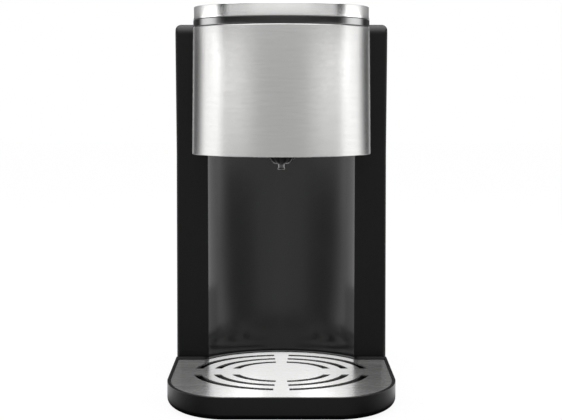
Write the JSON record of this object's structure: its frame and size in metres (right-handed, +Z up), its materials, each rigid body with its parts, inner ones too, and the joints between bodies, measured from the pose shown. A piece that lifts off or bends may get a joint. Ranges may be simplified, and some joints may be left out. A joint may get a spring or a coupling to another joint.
{
  "type": "instant hot water dispenser",
  "caption": "Countertop instant hot water dispenser with a steel drum head, a cup niche, a drip tray with a slotted plate and a lift-off rear water tank.",
  "frame": {"origin": "on the floor, under the middle of the whole object's box", "axes": "+Z up, +X to the right seen from the front, the cup side faces -Y and the water tank is at +Y"},
  "size_m": [0.1752, 0.2964, 0.304],
  "materials": {
    "satin_black": "satin black moulding",
    "gloss_black": "mirror-like black",
    "inner_black": "plain dark moulding",
    "brushed_steel": "fine brushed grain",
    "plain_steel": "smooth steel",
    "zinc": "dull bright plating",
    "smoke_clear": "smoke-tinted clear",
    "window_black": "dark clear window",
    "key_black": "semi-gloss",
    "rubber": "matte",
    "silicone": "milky",
    "board_green": "circuit board",
    "white_plastic": "natural moulding",
    "relay_blue": "plain"
  },
  "bodies": {
    "base": {"base_plate": "satin_black", "foot_front_left": "rubber", "foot_front_right": "rubber", "foot_rear_left": "rubber", "foot_rear_right": "rubber", "base_screw_front_left": "zinc", "base_screw_front_right": "zinc", "base_screw_rear_left": "zinc", "base_screw_rear_right": "zinc", "housing_shell": "satin_black", "niche_panel": "gloss_black", "rear_cover": "inner_black", "tank_seat": "satin_black", "cord_gland": "rubber", "head_floor": "inner_black", "head_carrier": "inner_black", "head_sleeve": "brushed_steel", "gloss_band": "gloss_black", "top_ring": "plain_steel", "control_panel": "gloss_black", "display_window": "window_black", "temperature_dome": "silicone", "start_dome": "silicone", "volume_dome": "silicone", "control_board": "board_green", "nozzle": "inner_black", "outlet_tube": "plain_steel", "pump_motor": "zinc", "pump_head": "white_plastic", "pump_saddle": "rubber", "heater_tube": "plain_steel", "heater_cap_lower": "white_plastic", "heater_cap_upper": "white_plastic", "temperature_sensor": "plain_steel", "heater_clip_lower": "zinc", "heater_clip_upper": "zinc", "cutout_thermostat": "white_plastic", "power_board": "board_green", "power_relay": "relay_blue", "transformer": "relay_blue", "heat_sink": "zinc", "tank_dock": "inner_black", "dock_seal": "silicone", "inlet_hose": "silicone", "pump_hose": "silicone", "outlet_hose": "silicone"},
    "tray": {"drip_tray": "satin_black"},
    "plate": {"drip_plate": "brushed_steel"},
    "tank": {"water_tank": "smoke_clear", "valve_body": "white_plastic", "valve_spring": "plain_steel", "tank_strainer": "silicone", "lid_hinge_pin": "plain_steel"},
    "lid": {"tank_lid": "satin_black"},
    "plunger": {"valve_plunger": "silicone"},
    "key_temperature": {"temperature_key": "key_black"},
    "key_start": {"start_key": "key_black"},
    "key_volume": {"volume_key": "key_black"},
    "rotor": {"pump_rotor": "plain_steel"}
  },
  "joints": [
    {"name": "tray_slide", "type": "slide", "parent": "base", "child": "tray", "axis": [0, -1, 0], "range_m": [0, 0.11]},
    {"name": "plate_lift", "type": "slide", "parent": "tray", "child": "plate", "axis": [0, 0, 1], "range_m": [0, 0.05]},
    {"name": "tank_lift", "type": "slide", "parent": "base", "child": "tank", "axis": [0, 0, 1], "range_m": [0, 0.08]},
    {"name": "lid_hinge", "type": "hinge", "parent": "tank", "child": "lid", "pos_m": [0, 0.13975, 0.2898], "axis": [-1, 0, 0], "range_deg": [0, 90]},
    {"name": "plunger_drop", "type": "slide", "parent": "tank", "child": "plunger", "axis": [0, 0, -1], "range_m": [0, 0.004], "deforming": ["valve_spring"]},
    {"name": "temperature_press", "type": "slide", "parent": "base", "child": "key_temperature", "axis": [0, 0, -1], "range_m": [0, 0.001], "stiffness_N_per_m": 400, "deforming": ["temperature_dome"]},
    {"name": "start_press", "type": "slide", "parent": "base", "child": "key_start", "axis": [0, 0, -1], "range_m": [0, 0.001], "stiffness_N_per_m": 400, "deforming": ["start_dome"]},
    {"name": "volume_press", "type": "slide", "parent": "base", "child": "key_volume", "axis": [0, 0, -1], "range_m": [0, 0.001], "stiffness_N_per_m": 400, "deforming": ["volume_dome"]},
    {"name": "rotor_spin", "type": "hinge", "parent": "base", "child": "rotor", "pos_m": [0, 0.0574, 0.031], "axis": [1, 0, 0], "continuous": true}
  ],
  "couplings": [
    {"joint": "plunger_drop", "follows": "tank_lift", "ratio": 0.05}
  ]
}
